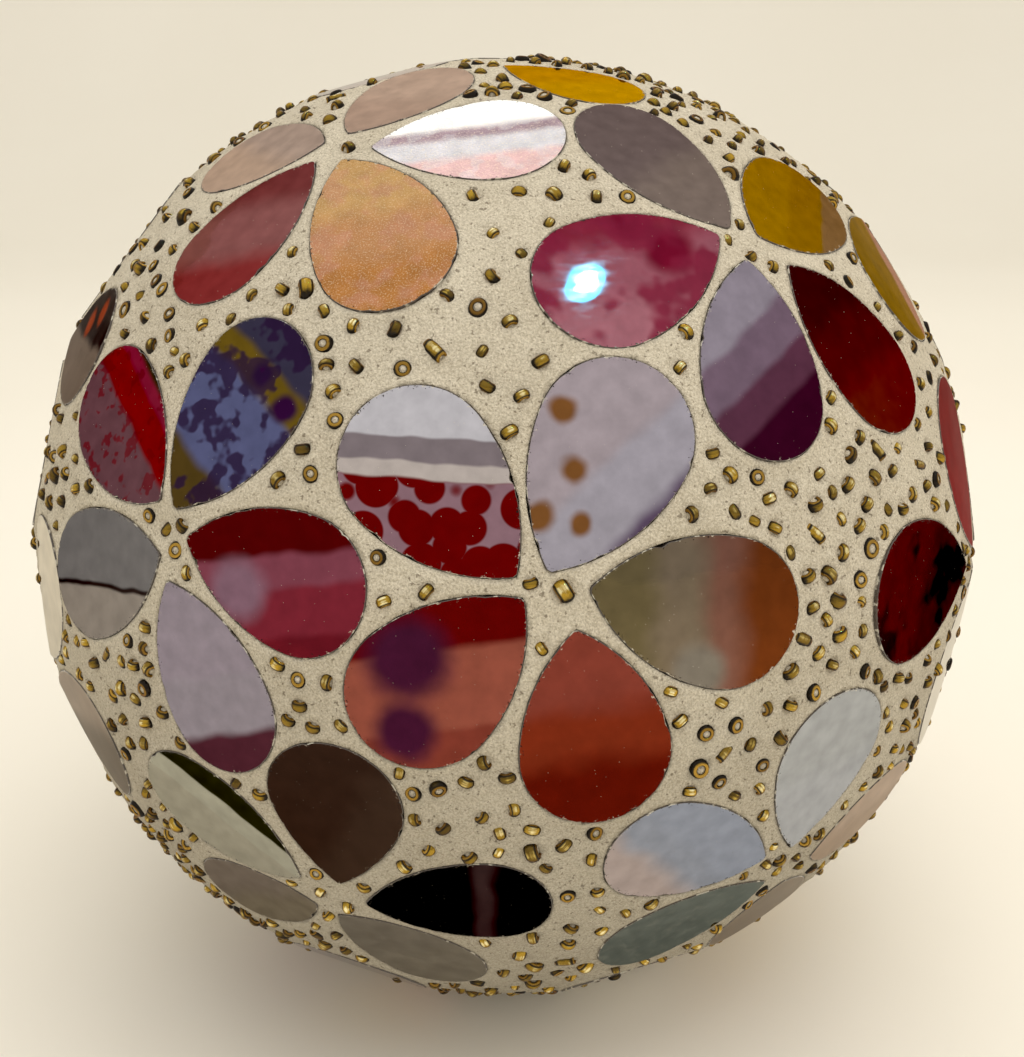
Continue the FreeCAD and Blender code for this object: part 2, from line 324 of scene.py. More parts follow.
def mirror_material():
    """Tinted mirror glass. The colours each petal shows, painted reflections of its surroundings, come as
    attributes of its mesh.
    """
    s = Shader("mirror_glass")
    x, y, rim = s.split(s.attribute("petal_place"))
    seed, hammered, dust = s.split(s.attribute("petal_kind"))
    spread = s.join(x, y, s.times(seed, 37.0))
    cosine, sine, soft = s.split(s.attribute("paint_aim"))
    edges = s.split(s.attribute("paint_edges"))
    drift = s.times(s.minus(s.noise(spread, 0.16, 1.0), 0.5), s.plus(soft, 1.2))
    run = s.plus(s.plus(s.times(x, sine), s.times(y, cosine)), drift)
    colour = s.attribute("paint_1", "Color")
    for number, edge in enumerate(edges, 2):
        part = s.around(run, edge, soft)
        colour = s.mix(part, colour, s.attribute("paint_%d" % number, "Color"))
    ruffle = s.times(s.minus(s.noise(spread, 0.3, 1.0), 0.5), 1.3)
    for number in range(1, SPOTS + 1):
        spot_x, spot_y, spot_size = s.split(s.attribute("spot_%d" % number))
        offset = s.join(s.minus(x, spot_x), s.minus(y, spot_y), 0.0)
        away = s.plus(s.vector("LENGTH", offset, out="Value"), ruffle)
        in_spot = s.step(away, s.times(spot_size, 1.3), s.times(spot_size, 0.55))
        in_spot = s.times(in_spot, s.step(spot_size, 0.1, 0.3))
        colour = s.mix(in_spot, colour, s.attribute("spot_colour", "Color"))
    mottle_colour = s.attribute("mottle_colour", "Color")
    amount, fineness, level = s.split(s.attribute("mottle"))
    fade = s.plus(0.015, s.times(soft, 0.025))
    blotched = s.times(amount, s.around(s.noise(spread, fineness, 2.0, 0.55), level, fade))
    colour = s.mix(blotched, colour, mottle_colour)
    dots, dot_size, dot_level = s.split(s.attribute("dots"))
    web = s.times(s.around(s.cells(spread, dot_size), dot_level, 0.03), dots)
    colour = s.mix(s.times(web, part), colour, mottle_colour)
    clouds = s.scale(s.noise(spread, 0.35, 3.0), 0.3, 0.7, 0.9, 1.1)
    colour = s.mix(1.0, colour, s.join(clouds, clouds, clouds), "MULTIPLY")
    # Painted glints: pale specks on the hammered glass stand in for highlights
    painted_glints = s.times(s.step(s.noise(spread, 4.2, 2.0, 0.6), 0.5, 0.72), hammered)
    colour = s.mix(s.times(painted_glints, 0.45), colour, srgb("fff0d0"))
    # The silvering has flaked off in specks along the edge, and grout haze and dust lie on the glass
    flake = s.plus(s.times(rim, 0.16), s.noise(spread, 2.6, 3.0, 0.65))
    flaked = s.step(flake, 0.435, 0.405)
    colour = s.mix(flaked, colour, srgb("1b1210"))
    smeared = s.plus(s.noise(spread, 1.4, 4.0, 0.7), s.times(s.minus(0.5, rim), 0.2))
    haze = s.step(smeared, 0.64, 0.72)
    specks = s.step(s.cells(spread, 0.9), 0.05, 0.03)
    dusty = s.times(s.math("MAXIMUM", haze, specks), dust)
    colour = s.mix(dusty, colour, srgb("cfc6b4"))
    metal = s.minus(1.0, s.math("MAXIMUM", s.times(dusty, 0.8), flaked))
    smear = s.noise(s.vector("MULTIPLY", spread, (0.5, 1.6, 1.0)), 0.5, 4.0, 0.6)
    rough = s.scale(smear, 0.35, 0.75, 0.015, 0.07)
    rough = s.plus(rough, s.times(hammered, 0.26))
    rough = s.plus(rough, s.times(dusty, 0.4))
    dents = s.times(s.noise(spread, 2.6, 2.0, 0.6), hammered)
    waves = s.bump(s.noise(spread, 0.11, 1.0), 0.00012, 0.4)
    relief = s.bump(dents, 0.00012, 0.8, waves)
    # Seen at a slant the mirror keeps its painted reflection colour, as silvering behind glass does
    slant_tint = s.mix(1.0, s.mix(0.9, srgb("000000"), colour), srgb("686868"), "ADD")
    return s.finish(Base_Color=colour, Metallic=metal, Roughness=rough, Normal=relief,
                    Specular_Tint=slant_tint)


def edge_material():
    """Ground edge of the mirror glass: dark brown as a painted shadow in the gap between glass and grout,
    with pale chips.
    """
    s = Shader("glass_edge")
    where = s.place()
    grain = s.noise(where, 2600.0, 3.0, 0.6)
    chips = s.step(s.noise(where, 700.0, 2.0), 0.56, 0.64)
    colour = s.mix(grain, srgb("2c241f"), srgb("5b5046"))
    colour = s.mix(chips, colour, srgb("b9b3a2"))
    rough = s.scale(grain, 0.3, 0.7, 0.18, 0.45)
    return s.finish(Base_Color=colour, Roughness=rough, Normal=s.bump(grain, 0.00006), Coat_Weight=0.4)


def grout_material():
    """Cream sanded grout: sand grains, smears of the float, painted shade in the gaps at the glass, and
    painted shade darker towards the bottom.
    """
    s = Shader("grout")
    where = s.place()
    sand = s.noise(where, 3200.0, 3.0, 0.7)
    grains = s.cells(where, 2300.0)
    clouds = s.noise(where, 60.0, 4.0, 0.6)
    colour = s.mix(s.scale(clouds, 0.3, 0.7, 0.0, 1.0), srgb("bdb29b"), srgb("cdc3ad"))
    dark, pale = s.mix(0.42, colour, srgb("6d6250")), s.mix(0.22, colour, srgb("f4eddc"))
    colour = s.mix(s.step(sand, 0.3, 0.7), dark, pale)
    pits = s.step(s.noise(where, 1500.0, 2.0, 0.5), 0.365, 0.30)
    colour = s.mix(s.times(pits, 0.75), colour, srgb("6f6453"))
    dark_grains = s.step(s.cells(where, 1250.0), 0.13, 0.06)
    colour = s.mix(s.times(dark_grains, 0.2), colour, srgb("84755c"))
    height = s.split(where)[2]
    shading = s.scale(height, 0.02, 0.105, 0.66, 1.13)
    colour = s.mix(1.0, colour, s.join(shading, shading, s.plus(shading, 0.01)), "MULTIPLY")
    # Painted shade: the grout darkens where it meets each petal and on the walls and floors under the glass
    gap_shade = s.attribute("grout_depth", "Fac")
    colour = s.mix(s.times(s.step(gap_shade, 0.0, 1.0), 0.85), colour, srgb("3b3026"))
    rough = s.scale(sand, 0.3, 0.7, 0.78, 0.98)
    lumps = s.bump(s.noise(where, 900.0, 4.0, 0.62), 0.0004, 1.0)
    relief = s.bump(s.plus(sand, s.times(grains, 0.5)), 0.0002, 1.0, lumps)
    return s.finish(Base_Color=colour, Roughness=rough, Normal=relief, Specular_IOR_Level=0.25)


def bead_material():
    """Amber glass over a gold lining, with painted light: a highlight stripe facing a light above and
    outwards, shaded dark brown flanks, a dark band at each amber end's rim.
    """
    s = Shader("bead_glass")
    along, facing, shade = s.split(s.attribute("bead_place"))
    where = s.join(s.times(along, 1.6), s.times(facing, 2.0), s.times(shade, 41.0))
    wobble = s.minus(s.noise(where, 1.6, 2.0), 0.5)
    # Painted light: facing is how far the surface turns to a light above and outwards; the flanks get painted
    # shade and the top a painted highlight stripe
    painted_lit = s.plus(facing, s.times(wobble, 0.45))
    gold = s.mix(shade, srgb("54400c"), srgb("b8942c"))
    colour = s.mix(s.step(painted_lit, 0.4, 0.88), srgb("150d04"), gold)
    colour = s.mix(s.step(painted_lit, 0.9, 1.03), colour, s.mix(shade, srgb("b89a38"), srgb("fff4c0")))
    # Painted shade: a dark band at the rim of each amber end
    end = s.plus(s.math("ABSOLUTE", along), s.times(wobble, 0.25))
    colour = s.mix(s.step(end, 0.5, 0.75), colour, srgb("150c04"))
    colour = s.mix(s.step(end, 0.8, 0.93), colour, s.mix(shade, srgb("6a4a10"), srgb("b08a34")))
    rough = s.scale(wobble, -0.3, 0.3, 0.1, 0.28)
    relief = s.bump(wobble, 0.00008, 0.5)
    return s.finish(Base_Color=colour, Metallic=0.8, Roughness=rough, Normal=relief,
                    Specular_Tint=(0.28, 0.2, 0.08, 1.0), Coat_Weight=0.3, Coat_Roughness=0.03)


def felt_material():
    s = Shader("felt")
    where = s.place()
    fibres = s.noise(s.vector("MULTIPLY", where, (1.0, 2.4, 1.0)), 1500.0, 5.0, 0.75)
    clouds = s.noise(where, 120.0, 3.0)
    colour = s.mix(fibres, srgb("2b2522"), srgb("5a504a"))
    colour = s.mix(s.step(clouds, 0.4, 0.7), colour, s.mix(0.25, colour, srgb("776b60")))
    return s.finish(Base_Color=colour, Roughness=s.scale(fibres, 0.2, 0.8, 0.85, 1.0),
                    Normal=s.bump(fibres, 0.0003), Sheen_Weight=0.4)


def plastic_material():
    s = Shader("core_plastic")
    where = s.place()
    grain = s.noise(where, 900.0, 3.0)
    colour = s.mix(s.noise(where, 30.0, 2.0), srgb("d6d5d0"), srgb("e6e5e1"))
    return s.finish(Base_Color=colour, Roughness=s.scale(grain, 0.3, 0.7, 0.4, 0.6),
                    Normal=s.bump(grain, 0.00005, 0.5))


def adhesive_material():
    s = Shader("tile_adhesive")
    where = s.place()
    grain = s.noise(where, 1100.0, 4.0, 0.65)
    colour = s.mix(grain, srgb("c9c6bd"), srgb("e8e6df"))
    return s.finish(Base_Color=colour, Roughness=s.scale(grain, 0.3, 0.7, 0.8, 0.95),
                    Normal=s.bump(grain, 0.0002))


def floor_material():
    s = Shader("floor")
    where = s.place()
    clouds = s.noise(where, 3.0, 4.0)
    fine = s.noise(where, 260.0, 3.0)
    colour = s.mix(clouds, srgb("f1ebdd"), srgb("f7f2e6"))
    return s.finish(Base_Color=colour, Roughness=s.scale(clouds, 0.3, 0.7, 0.42, 0.55),
                    Normal=s.bump(fine, 0.00003, 0.3))


# ---------------------------------------------------------------- mirror petals

# The colours each petal shows are painted reflections, and lie in bands across the petal. heading is the way
# the bands follow each other, in degrees clockwise from up; until is where each band but the last ends, in
# millimetres from the petal's middle; each spot is (right, up, radius), and mottle and dots, a web of round
# cells in the last band, are each (amount, fineness, level).
Paint = namedtuple("Paint", "heading colours until soft spots spot_colour mottle mottle_colour hammered dots",
                   defaults=([0], 3, (), "000000", (0, 0.3, 0.5), "000000", 0.0, (0, 0.2, 0.5)))
SPOTS = 4

PAINTED_REFLECTIONS = {
    # Flower in the middle of the front
    (22, -6): Paint(182, ["c8c6ce", "857a80", "c2b8b4", "6c0202"], [-7, -3.6, -1.4], 0.25,
        mottle_colour="93727e", dots=(1.0, 0.21, 0.60)),
    (24, 9): Paint(140, ["aca0a8", "a9a4b0", "5e4c66"], [0, 8.5], 1.2,
        [(-4.7, 8, 2.0), (-3.6, 0, 1.9), (-9.0, -6, 2.2), (-3.2, -7.4, 1.6)], "80542c"),
    (11, 18): Paint(92, ["6f6448", "7d7060", "80584c", "703816"], [-6, 1.5, 7], 2.6,
        [(0, -9, 4.2)], "7e7870"),
    (1, 8): Paint(176, ["7c3a30", "742a16", "581004"], [-3, 5], 2.5),
    (6, -5): Paint(170, ["5c0302", "8c4c40", "7a382e"], [-3.4, 8], 0.7,
        [(-5.0, 1.8, 6.2), (-5.4, -8.6, 4.6)], "401430"),
    # Flower on the left
    (27, -29): Paint(212, ["38344a", "6a5518", "5a5e86", "54421c"], [-9.5, -5.0, 8.0], 0.9,
        [(3.6, 6.7, 1.9), (8.6, 2.4, 2.2)], "330c3a", (0.85, 0.22, 0.51), "2a1438"),
    (24, -44): Paint(32, ["74525a", "8c0e0a", "8c2c40", "33301a"], [1.5, 6.5, 9.0], 0.7,
        mottle=(0.7, 0.42, 0.58), mottle_colour="7a2228"),
    (9, -44): Paint(170, ["77767a", "3a3332", "8f8986"], [2.1, 2.9], 0.3),
    (3, -29): Paint(160, ["8c8494", "8a8492", "4a2430"], [0, 9], 0.9),
    (13, -21): Paint(168, ["5c0304", "8f4a5c", "8a2c3c", "741a28"], [-2.6, 2, 9], 0.7,
        [(-5.2, -3.0, 4.6)], "947084"),
    # Flower at the top left
    (56, -51): Paint(190, ["c9bbb9", "d4c2ba"]),
    (46, -38): Paint(165, ["7c4444", "93605f", "8a3c3c"], [-5, 6], 2.5),
    (47, -17): Paint(165, ["cda26a", "c48e60", "b87c42"], [-3, 6], 3,
        mottle=(0.5, 0.25, 0.55), mottle_colour="cb9078", hammered=1.0),
    # This petal's near-white top band is a painted glare from a light above
    (59, -6): Paint(168, ["fbfbf8", "a08c96", "cfcdd2", "d9b6b6"], [-3.6, -0.6, 4.5], 1.1,
        mottle=(0.3, 0.3, 0.55), mottle_colour="d4d6da", hammered=1.0),
    (68, -29): Paint(180, ["dac8c2", "cfbcb6"]),
    # Flower at the top right
    (54, 28): Paint(150, ["766866", "84766f"]),
    (42, 16): Paint(172, ["84263a", "9c5a68", "a86a76"], [-5, 4], 2.8,
        [(6, 3, 4.2), (1, 7.5, 3)], "76102c", (0.9, 0.15, 0.55), "80203a"),
    (32, 29): Paint(150, ["938a98", "776274", "5c3448", "380620"], [-4, 2, 7], 0.7),
    (32, 45): Paint(168, ["47101a", "5b1211", "6f2d0c"], [-4, 5], 2.6),
    (48, 49): Paint(142, ["b4900c", "ac880c", "a08466"], [0, 6.4], 0.7),
    # Flower at the bottom left
    (-10, -16): Paint(120, ["302019", "392a22"], [2], 3),
    (-20, -5): Paint(90, ["150505", "3d2f30", "1a0606"], [2.6, 5.6], 1.2),
    (-30, -12): Paint(150, ["96918a", "9c978f"]),
    (-24, -29): Paint(150, ["98908a", "9a9388"]),
    (-14, -30): Paint(32, ["a09d92", "a6a59a", "3b3a26"], [0, 4.2], 0.3),
    # Flower at the bottom right
    (-16, 19): Paint(228, ["8f96a8", "8e94a4", "a89c9c"], [0, 5], 2.2),
    (-10, 34): Paint(180, ["a8abb0", "aaadb4"]),
    (-28, 22): Paint(180, ["868c8a", "828886"], mottle=(0.35, 0.4, 0.6), mottle_colour="9da09c"),
    (-21, 48): Paint(180, ["bfb0a4", "b8a89a"]),
    (-35, 40): Paint(180, ["9c8f80", "968878"]),
    # Flower at the right
    (6, 47): Paint(120, ["640000", "5a0000"], [0], 2, mottle=(0.6, 0.12, 0.56), mottle_colour="300202"),
    (16, 62): Paint(180, ["8c0604", "920806"]),
    (-7, 61): Paint(180, ["c8c2b6", "cac4b8"]),
    # Pieces seen at the limb
    (73, 25): Paint(180, ["d9ae38", "dcb648"]),
    (38, 67): Paint(120, ["a0800c", "a8860e", "c8a08c"], [0, 5], 0.8),
    (56, 91): Paint(180, ["241519", "3a2620"]),
    (29, -66): Paint(180, ["40302a", "2c120c", "8a7c74"], [-6, -1], 1.0,
        [(-3, 3.5, 2.6), (4, 6.5, 2.4)], "a8480e"),
    (16, -73): Paint(180, ["cfcac0", "c8c2b6"]),
    (1, -61): Paint(180, ["d2ccc0", "ccc6ba"]),
    (-12, -54): Paint(160, ["a3968a", "7c7062"]),
    (11, 77): Paint(180, ["a00a06", "900604"]),
}
PAINT_REACH = math.cos(math.radians(7))   # a painted place claims the petal that lies within this

PLAIN_REFLECTIONS = [
    Paint(0, ["a9a7a9", "9d9c9e"]),
    Paint(0, ["c8c0b0", "bcb3a2"]),
    Paint(0, ["87858f", "918a8c"]),
]


def paint_for(plate, rng):
    """The petal's own paint where one is set, or one of the others at a new heading."""
    outwards = outwards_at(plate.point)
    for (latitude, longitude), paint in PAINTED_REFLECTIONS.items():
        lat, lon = math.radians(latitude), math.radians(longitude)
        there = (math.cos(lat) * math.sin(lon), -math.cos(lat) * math.cos(lon), math.sin(lat))
        if outwards @ there > PAINT_REACH:
            return paint
    choices = list(PAINTED_REFLECTIONS.values()) + PLAIN_REFLECTIONS * 4
    return rng.choice(choices)._replace(heading=rng.uniform(0, 360))


def petal_circles(length, width):
    """Where the round end's centre lies and its radius, then the left side's centre and radius."""
    end_radius = width / 2
    end_x = length - end_radius
    radius = (end_x ** 2 - end_radius ** 2) / (2 * (end_x * math.sin(TIP_HALF_ANGLE) - end_radius))
    side = np.array([radius * math.sin(TIP_HALF_ANGLE), -radius * math.cos(TIP_HALF_ANGLE)])
    return end_x, end_radius, side, radius


def teardrop(length, width):
    """Outline points and inward normals, from the petal's point round the left side, about its middle."""
    end_x, end_radius, side, radius = petal_circles(length, width)
    start = math.atan2(-side[1], -side[0])
    join = math.atan2(-side[1], end_x - side[0])
    sweep = np.linspace(start, join, SIDE_STEPS)
    arc = np.column_stack([np.cos(sweep), np.sin(sweep)])
    half = np.linspace(join, -join, END_STEPS)[1:-1]
    end = np.column_stack([np.cos(half), np.sin(half)])
    mirror = [1, -1]
    flank = side + radius * arc
    points = np.vstack([flank, [end_x, 0] + end_radius * end, flank[:0:-1] * mirror])
    inward = -np.vstack([arc, end, arc[:0:-1] * mirror])
    inward[0] = (1, 0)
    return points - [length / 2, 0], inward


def chipped(points, inward, rng):
    """The outline with the small nicks that nippers leave, and a slightly blunted point."""
    steps = np.linalg.norm(np.diff(points, axis=0, append=points[:1]), axis=1)
    run = np.concatenate([[0], np.cumsum(steps)[:-1]])
    depth = np.zeros(len(points))
    for _ in range(rng.randint(5, 10)):
        away = np.abs(run - rng.uniform(0, run[-1]))
        depth += rng.uniform(0.05, 0.28) * MM * np.clip(1 - away / (rng.uniform(0.5, 1.5) * MM), 0, 1)
    waver = [noise.noise(Vector((x * 900, y * 900, run[-1] * 100))) for x, y in points]
    depth += EDGE_WAVER * (1 + np.array(waver))
    depth[0] += BLUNTING
    return points + inward * depth[:, None]


def new_object(name, points, faces, materials, slots=None, smooth=None):
    mesh = bpy.data.meshes.new(name)
    mesh.from_pydata([tuple(point) for point in points], [], [list(face) for face in faces])
    for material in materials:
        mesh.materials.append(material)
    if slots is not None:
        mesh.polygons.foreach_set("material_index", slots)
    mesh.polygons.foreach_set("use_smooth", smooth if smooth is not None else [True] * len(faces))
    mesh.update()
    piece = bpy.data.objects.new(name, mesh)
    bpy.context.scene.collection.objects.link(piece)
    return piece


def set_attribute(piece, name, kind, values):
    key = "color" if kind == "FLOAT_COLOR" else "value" if kind == "FLOAT" else "vector"
    layer = piece.data.attributes.new(name, kind, "POINT")
    layer.data.foreach_set(key, np.asarray(values, np.float32).reshape(-1))


def band_faces(first, second, count):
    """Quads between two rings of count points, given where each ring starts."""
    return [(first + i, first + (i + 1) % count, second + (i + 1) % count, second + i) for i in range(count)]


def upright(plate):
    """Right and up in the petal's plane as someone outside the ball sees them."""
    up = unit(UP - plate.normal * plate.normal[2])
    return np.cross(up, plate.normal), up


def petal_parts(plate, rng):
    """Points, rim distances and faces of one glass plate: side, ground arris, rim rings and faces."""
    outline, inward = teardrop(plate.length, plate.width)
    outline = chipped(outline, inward, rng)
    count = len(outline)
    middle = np.array([plate.length * 0.07, 0])
    to_middle = unit(middle - outline)
    slant = np.clip((to_middle * inward).sum(axis=1), 0.6, 1)
    slant[0] = math.sin(TIP_HALF_ANGLE)
    rings = [(outline, -GLASS, 0.0), (outline, -ARRIS, 0.0)]
    for offset in (ARRIS, *RIM_RINGS):
        rings.append((outline + to_middle * (offset / slant)[:, None], 0.0, offset))
    points = [
        plate.point + flat[:, :1] * plate.along + flat[:, 1:] * plate.across + height * plate.normal
        for flat, height, _ in rings
    ]
    rims = np.repeat([offset for _, _, offset in rings], count)
    faces = []
    for ring in range(len(rings) - 1):
        faces += band_faces(ring * count, (ring + 1) * count, count)
    last = (len(rings) - 1) * count
    faces.append([last + i for i in range(count)])
    faces.append(list(range(count))[::-1])
    edge_faces = 2 * count
    slots = [1] * edge_faces + [0] * (len(faces) - edge_faces)
    return np.vstack(points), rims, faces, slots


def make_flower(node, plates, materials, rng):
    """The petals of one flower as one piece, with their paint as attributes."""
    points, faces, slots = [], [], []
    layers = {}
    for plate in plates:
        part, rims, part_faces, part_slots = petal_parts(plate, rng)
        paint = paint_for(plate, rng)
        start = sum(len(p) for p in points)
        points.append(part)
        faces += [[start + corner for corner in face] for face in part_faces]
        slots += part_slots
        right, up = upright(plate)
        offset = (part - plate.point) / MM
        count = len(part)
        colours = paint.colours + [paint.colours[-1]] * (4 - len(paint.colours))
        until = paint.until + [90.0] * (3 - len(paint.until))
        heading = math.radians(paint.heading)
        spots = (list(paint.spots) + [(0, 0, 0)] * SPOTS)[:SPOTS]
        plain = {
            "petal_kind": (rng.random(), paint.hammered, rng.uniform(0.35, 1)),
            "paint_aim": (math.cos(heading), math.sin(heading), paint.soft),
            "paint_edges": until,
            "mottle": paint.mottle,
            "dots": paint.dots,
            "spot_colour": srgb(paint.spot_colour),
            "mottle_colour": srgb(paint.mottle_colour),
        }
        plain.update({"paint_%d" % number: srgb(colour) for number, colour in enumerate(colours, 1)})
        plain.update({"spot_%d" % number: spot for number, spot in enumerate(spots, 1)})
        place = np.column_stack([offset @ right, offset @ up, rims / MM])
        layers.setdefault("petal_place", []).append(place)
        for name, value in plain.items():
            layers.setdefault(name, []).append(np.tile(value, (count, 1)))
    flower = new_object(node + "_glass", np.vstack(points), faces, materials, slots, [False] * len(faces))
    for name, value in layers.items():
        stacked = np.vstack(value)
        set_attribute(flower, name, "FLOAT_COLOR" if stacked.shape[1] == 4 else "FLOAT_VECTOR", stacked)
    settle(flower, "mirror_glass", node)


def settle(piece, slot, *nodes):
    """The piece hangs under the root body and the CAD nodes it stands for are hidden. The slot is not used.
    """
    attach(piece, "root")
    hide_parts(*nodes)


# ---------------------------------------------------------------- grout

def sphere_grid(frequency):
    """Unit points and triangles of an icosahedron whose faces are cut into frequency squared parts."""
    golden = (1 + math.sqrt(5)) / 2
    corners = np.array([
        (-1, golden, 0), (1, golden, 0), (-1, -golden, 0), (1, -golden, 0),
        (0, -1, golden), (0, 1, golden), (0, -1, -golden), (0, 1, -golden),
        (golden, 0, -1), (golden, 0, 1), (-golden, 0, -1), (-golden, 0, 1)])
    corners = unit(corners)
    sides = [
        (0, 11, 5), (0, 5, 1), (0, 1, 7), (0, 7, 10), (0, 10, 11), (1, 5, 9), (5, 11, 4),
        (11, 10, 2), (10, 7, 6), (7, 1, 8), (3, 9, 4), (3, 4, 2), (3, 2, 6), (3, 6, 8),
        (3, 8, 9), (4, 9, 5), (2, 4, 11), (6, 2, 10), (8, 6, 7), (9, 8, 1)]
    rows, columns = np.array([(i, j) for i in range(frequency + 1) for j in range(frequency + 1 - i)]).T
    start = np.concatenate([[0], np.cumsum(np.arange(frequency + 1, 0, -1))])
    upward = (rows + columns) < frequency
    here = start[rows[upward]] + columns[upward]
    above = start[rows[upward] + 1] + columns[upward]
    triangles = [np.column_stack([here, above, here + 1])]
    inner = (rows + columns) < frequency - 1
    here = start[rows[inner]] + columns[inner]
    above = start[rows[inner] + 1] + columns[inner]
    triangles.append(np.column_stack([here + 1, above, above + 1]))
    pattern = np.vstack(triangles)
    points, faces = [], []
    for a, b, c in sides:
        u, v = rows[:, None] / frequency, columns[:, None] / frequency
        flat = (1 - u - v) * corners[a] + u * corners[b] + v * corners[c]
        faces.append(pattern + len(points) * len(flat))
        points.append(flat)
    points = unit(np.vstack(points))
    points, index = np.unique(np.round(points, 9), axis=0, return_inverse=True)
    triangles = index.reshape(-1)[np.vstack(faces)]
    turned = np.einsum("ij,ij->i", np.cross(points[triangles[:, 1]] - points[triangles[:, 0]],
                                            points[triangles[:, 2]] - points[triangles[:, 0]]),
                       points[triangles[:, 0]]) < 0
    triangles[turned] = triangles[turned][:, ::-1]
    return points, triangles


def petal_distance(plate, x, y):
    """Signed distance from the petal's outline in its plane, negative inside."""
    end_x, end_radius, (side_x, side_y), radius = petal_circles(plate.length, plate.width)
    x = x + plate.length / 2
    y = np.abs(y)
    angle = np.arctan2(y - side_y, x - side_x)
    result = np.hypot(x - side_x, y - side_y) - radius
    at_end = angle < math.atan2(-side_y, end_x - side_x)
    at_tip = angle > math.atan2(-side_y, -side_x)
    result[at_end] = np.hypot(x - end_x, y)[at_end] - end_radius
    result[at_tip] = np.hypot(x, y)[at_tip]
    return result


def petal_field(directions):
    """For each direction: distance to the nearest and the next petal, and the mirror planes' reach."""
    nearest = np.full(len(directions), 1.0)
    second = np.full(len(directions), 1.0)
    owner = np.zeros(len(directions), int)
    lift = np.zeros(len(directions))
    weight = np.zeros(len(directions))
    for number, plate in enumerate(PLATES):
        facing = directions @ plate.normal
        close = np.flatnonzero(facing > math.cos(math.radians(15)))
        reach = PETAL_TOP / facing[close]
        spot = directions[close] * reach[:, None] - (plate.point - CENTRE)
        away = petal_distance(plate, spot @ plate.along, spot @ plate.across)
        is_nearest = away < nearest[close]
        second[close] = np.where(is_nearest, nearest[close], np.minimum(second[close], away))
        nearest[close[is_nearest]] = away[is_nearest]
        owner[close[is_nearest]] = number
        share = np.clip(1 - away / MENISCUS, 0, 1) ** 2
        lift[close] += share * (reach - GROUT_UNDER_GLASS - GROUT_RADIUS)
        weight[close] += share
    return nearest, second, owner, lift / np.maximum(weight, 1)


def split_edges(points, triangles, edges, chosen):
    """Halves the chosen edges; each triangle turns into two, three or four to match."""
    made = unit(points[edges[chosen]].mean(axis=1))
    halves = np.full(len(edges), -1)
    halves[chosen] = len(points) + np.arange(chosen.sum())
    halves = halves[edge_numbers(triangles)].reshape(-1, 3)
    count = (halves >= 0).sum(axis=1)
    # turn each triangle so that a single cut edge comes first, or a single whole edge last
    first = np.where(count == 1, (halves >= 0).argmax(axis=1), 0)
    first = np.where(count == 2, ((halves < 0).argmax(axis=1) + 1) % 3, first)
    order = (first[:, None] + np.arange(3)) % 3
    triangles = np.take_along_axis(triangles, order, axis=1)
    halves = np.take_along_axis(halves, order, axis=1)
    a, b, c = triangles.T
    ab, bc, ca = halves.T
    parts = [triangles[count == 0]]
    patterns = {
        1: [(a, ab, c), (ab, b, c)],
        2: [(ab, b, bc), (a, ab, bc), (a, bc, c)],
        3: [(a, ab, ca), (ab, b, bc), (ca, bc, c), (ab, bc, ca)],
    }
    for cuts, pattern in patterns.items():
        parts += [np.column_stack(corners)[count == cuts] for corners in pattern]
    return np.vstack([points, made]), np.vstack(parts)


def all_edges(triangles):
    return np.sort(np.stack([triangles, np.roll(triangles, -1, axis=1)], axis=2).reshape(-1, 2), axis=1)


def drawn_edges(triangles):
    """Edges in the direction that each triangle runs."""
    return np.vstack([triangles[:, [0, 1]], triangles[:, [1, 2]], triangles[:, [2, 0]]])


def edge_numbers(triangles):
    """Number of each triangle's edges in the sorted list of unique edges."""
    return np.unique(all_edges(triangles), axis=0, return_inverse=True)[1].reshape(-1)


def skin_grid():
    """Sphere of triangles, fine where there is grout and finer where it runs thin between petals."""
    points, triangles = sphere_grid(GROUT_FREQUENCY)
    for narrow_only in (False, True):
        edges = np.unique(all_edges(triangles), axis=0)
        nearest, second, _, _ = petal_field(unit(points[edges].mean(axis=1)))
        chosen = nearest > OPEN_GROUND
        if narrow_only:
            chosen = (nearest > NARROW_EDGE) & (nearest + second < NARROW)
        points, triangles = split_edges(points, triangles, edges, chosen)
    return points, triangles


def noise_at(places):
    return np.array([noise.noise(Vector(place)) for place in places])


def ragged_gap(directions, strip):
    """How far the grout's edge stays off the glass: tight in places, torn open in others."""
    tears = noise_at(directions * 40)
    fine = noise_at(directions * 40 * 4.2)
    gap = GROUT_GAP + 0.2 * MM * np.clip(tears - 0.15, 0, 1) + 0.08 * MM * np.clip(fine + 0.1, 0, 1)
    return np.minimum(gap, TIGHTEST_GAP * strip)


def snap_to_edge(points, triangles, signed):
    """Moves points that lie next to the grout's edge onto it, so that clipping leaves no slivers."""
    edges = drawn_edges(triangles)
    crossing = edges[signed[edges[:, 0]] * signed[edges[:, 1]] < 0]
    near = np.vstack([crossing, crossing[:, ::-1]])
    part = signed[near[:, 0]] / (signed[near[:, 0]] - signed[near[:, 1]])
    order = np.argsort(part)
    near, part = near[order], part[order]
    near, part = near[part < 0.28], part[part < 0.28]
    movers, first = np.unique(near[:, 0], return_index=True)
    points, signed = points.copy(), signed.copy()
    targets = near[first, 1]
    points[movers] += (points[targets] - points[movers]) * part[first][:, None]
    signed[movers] = 0
    return unit(points), signed


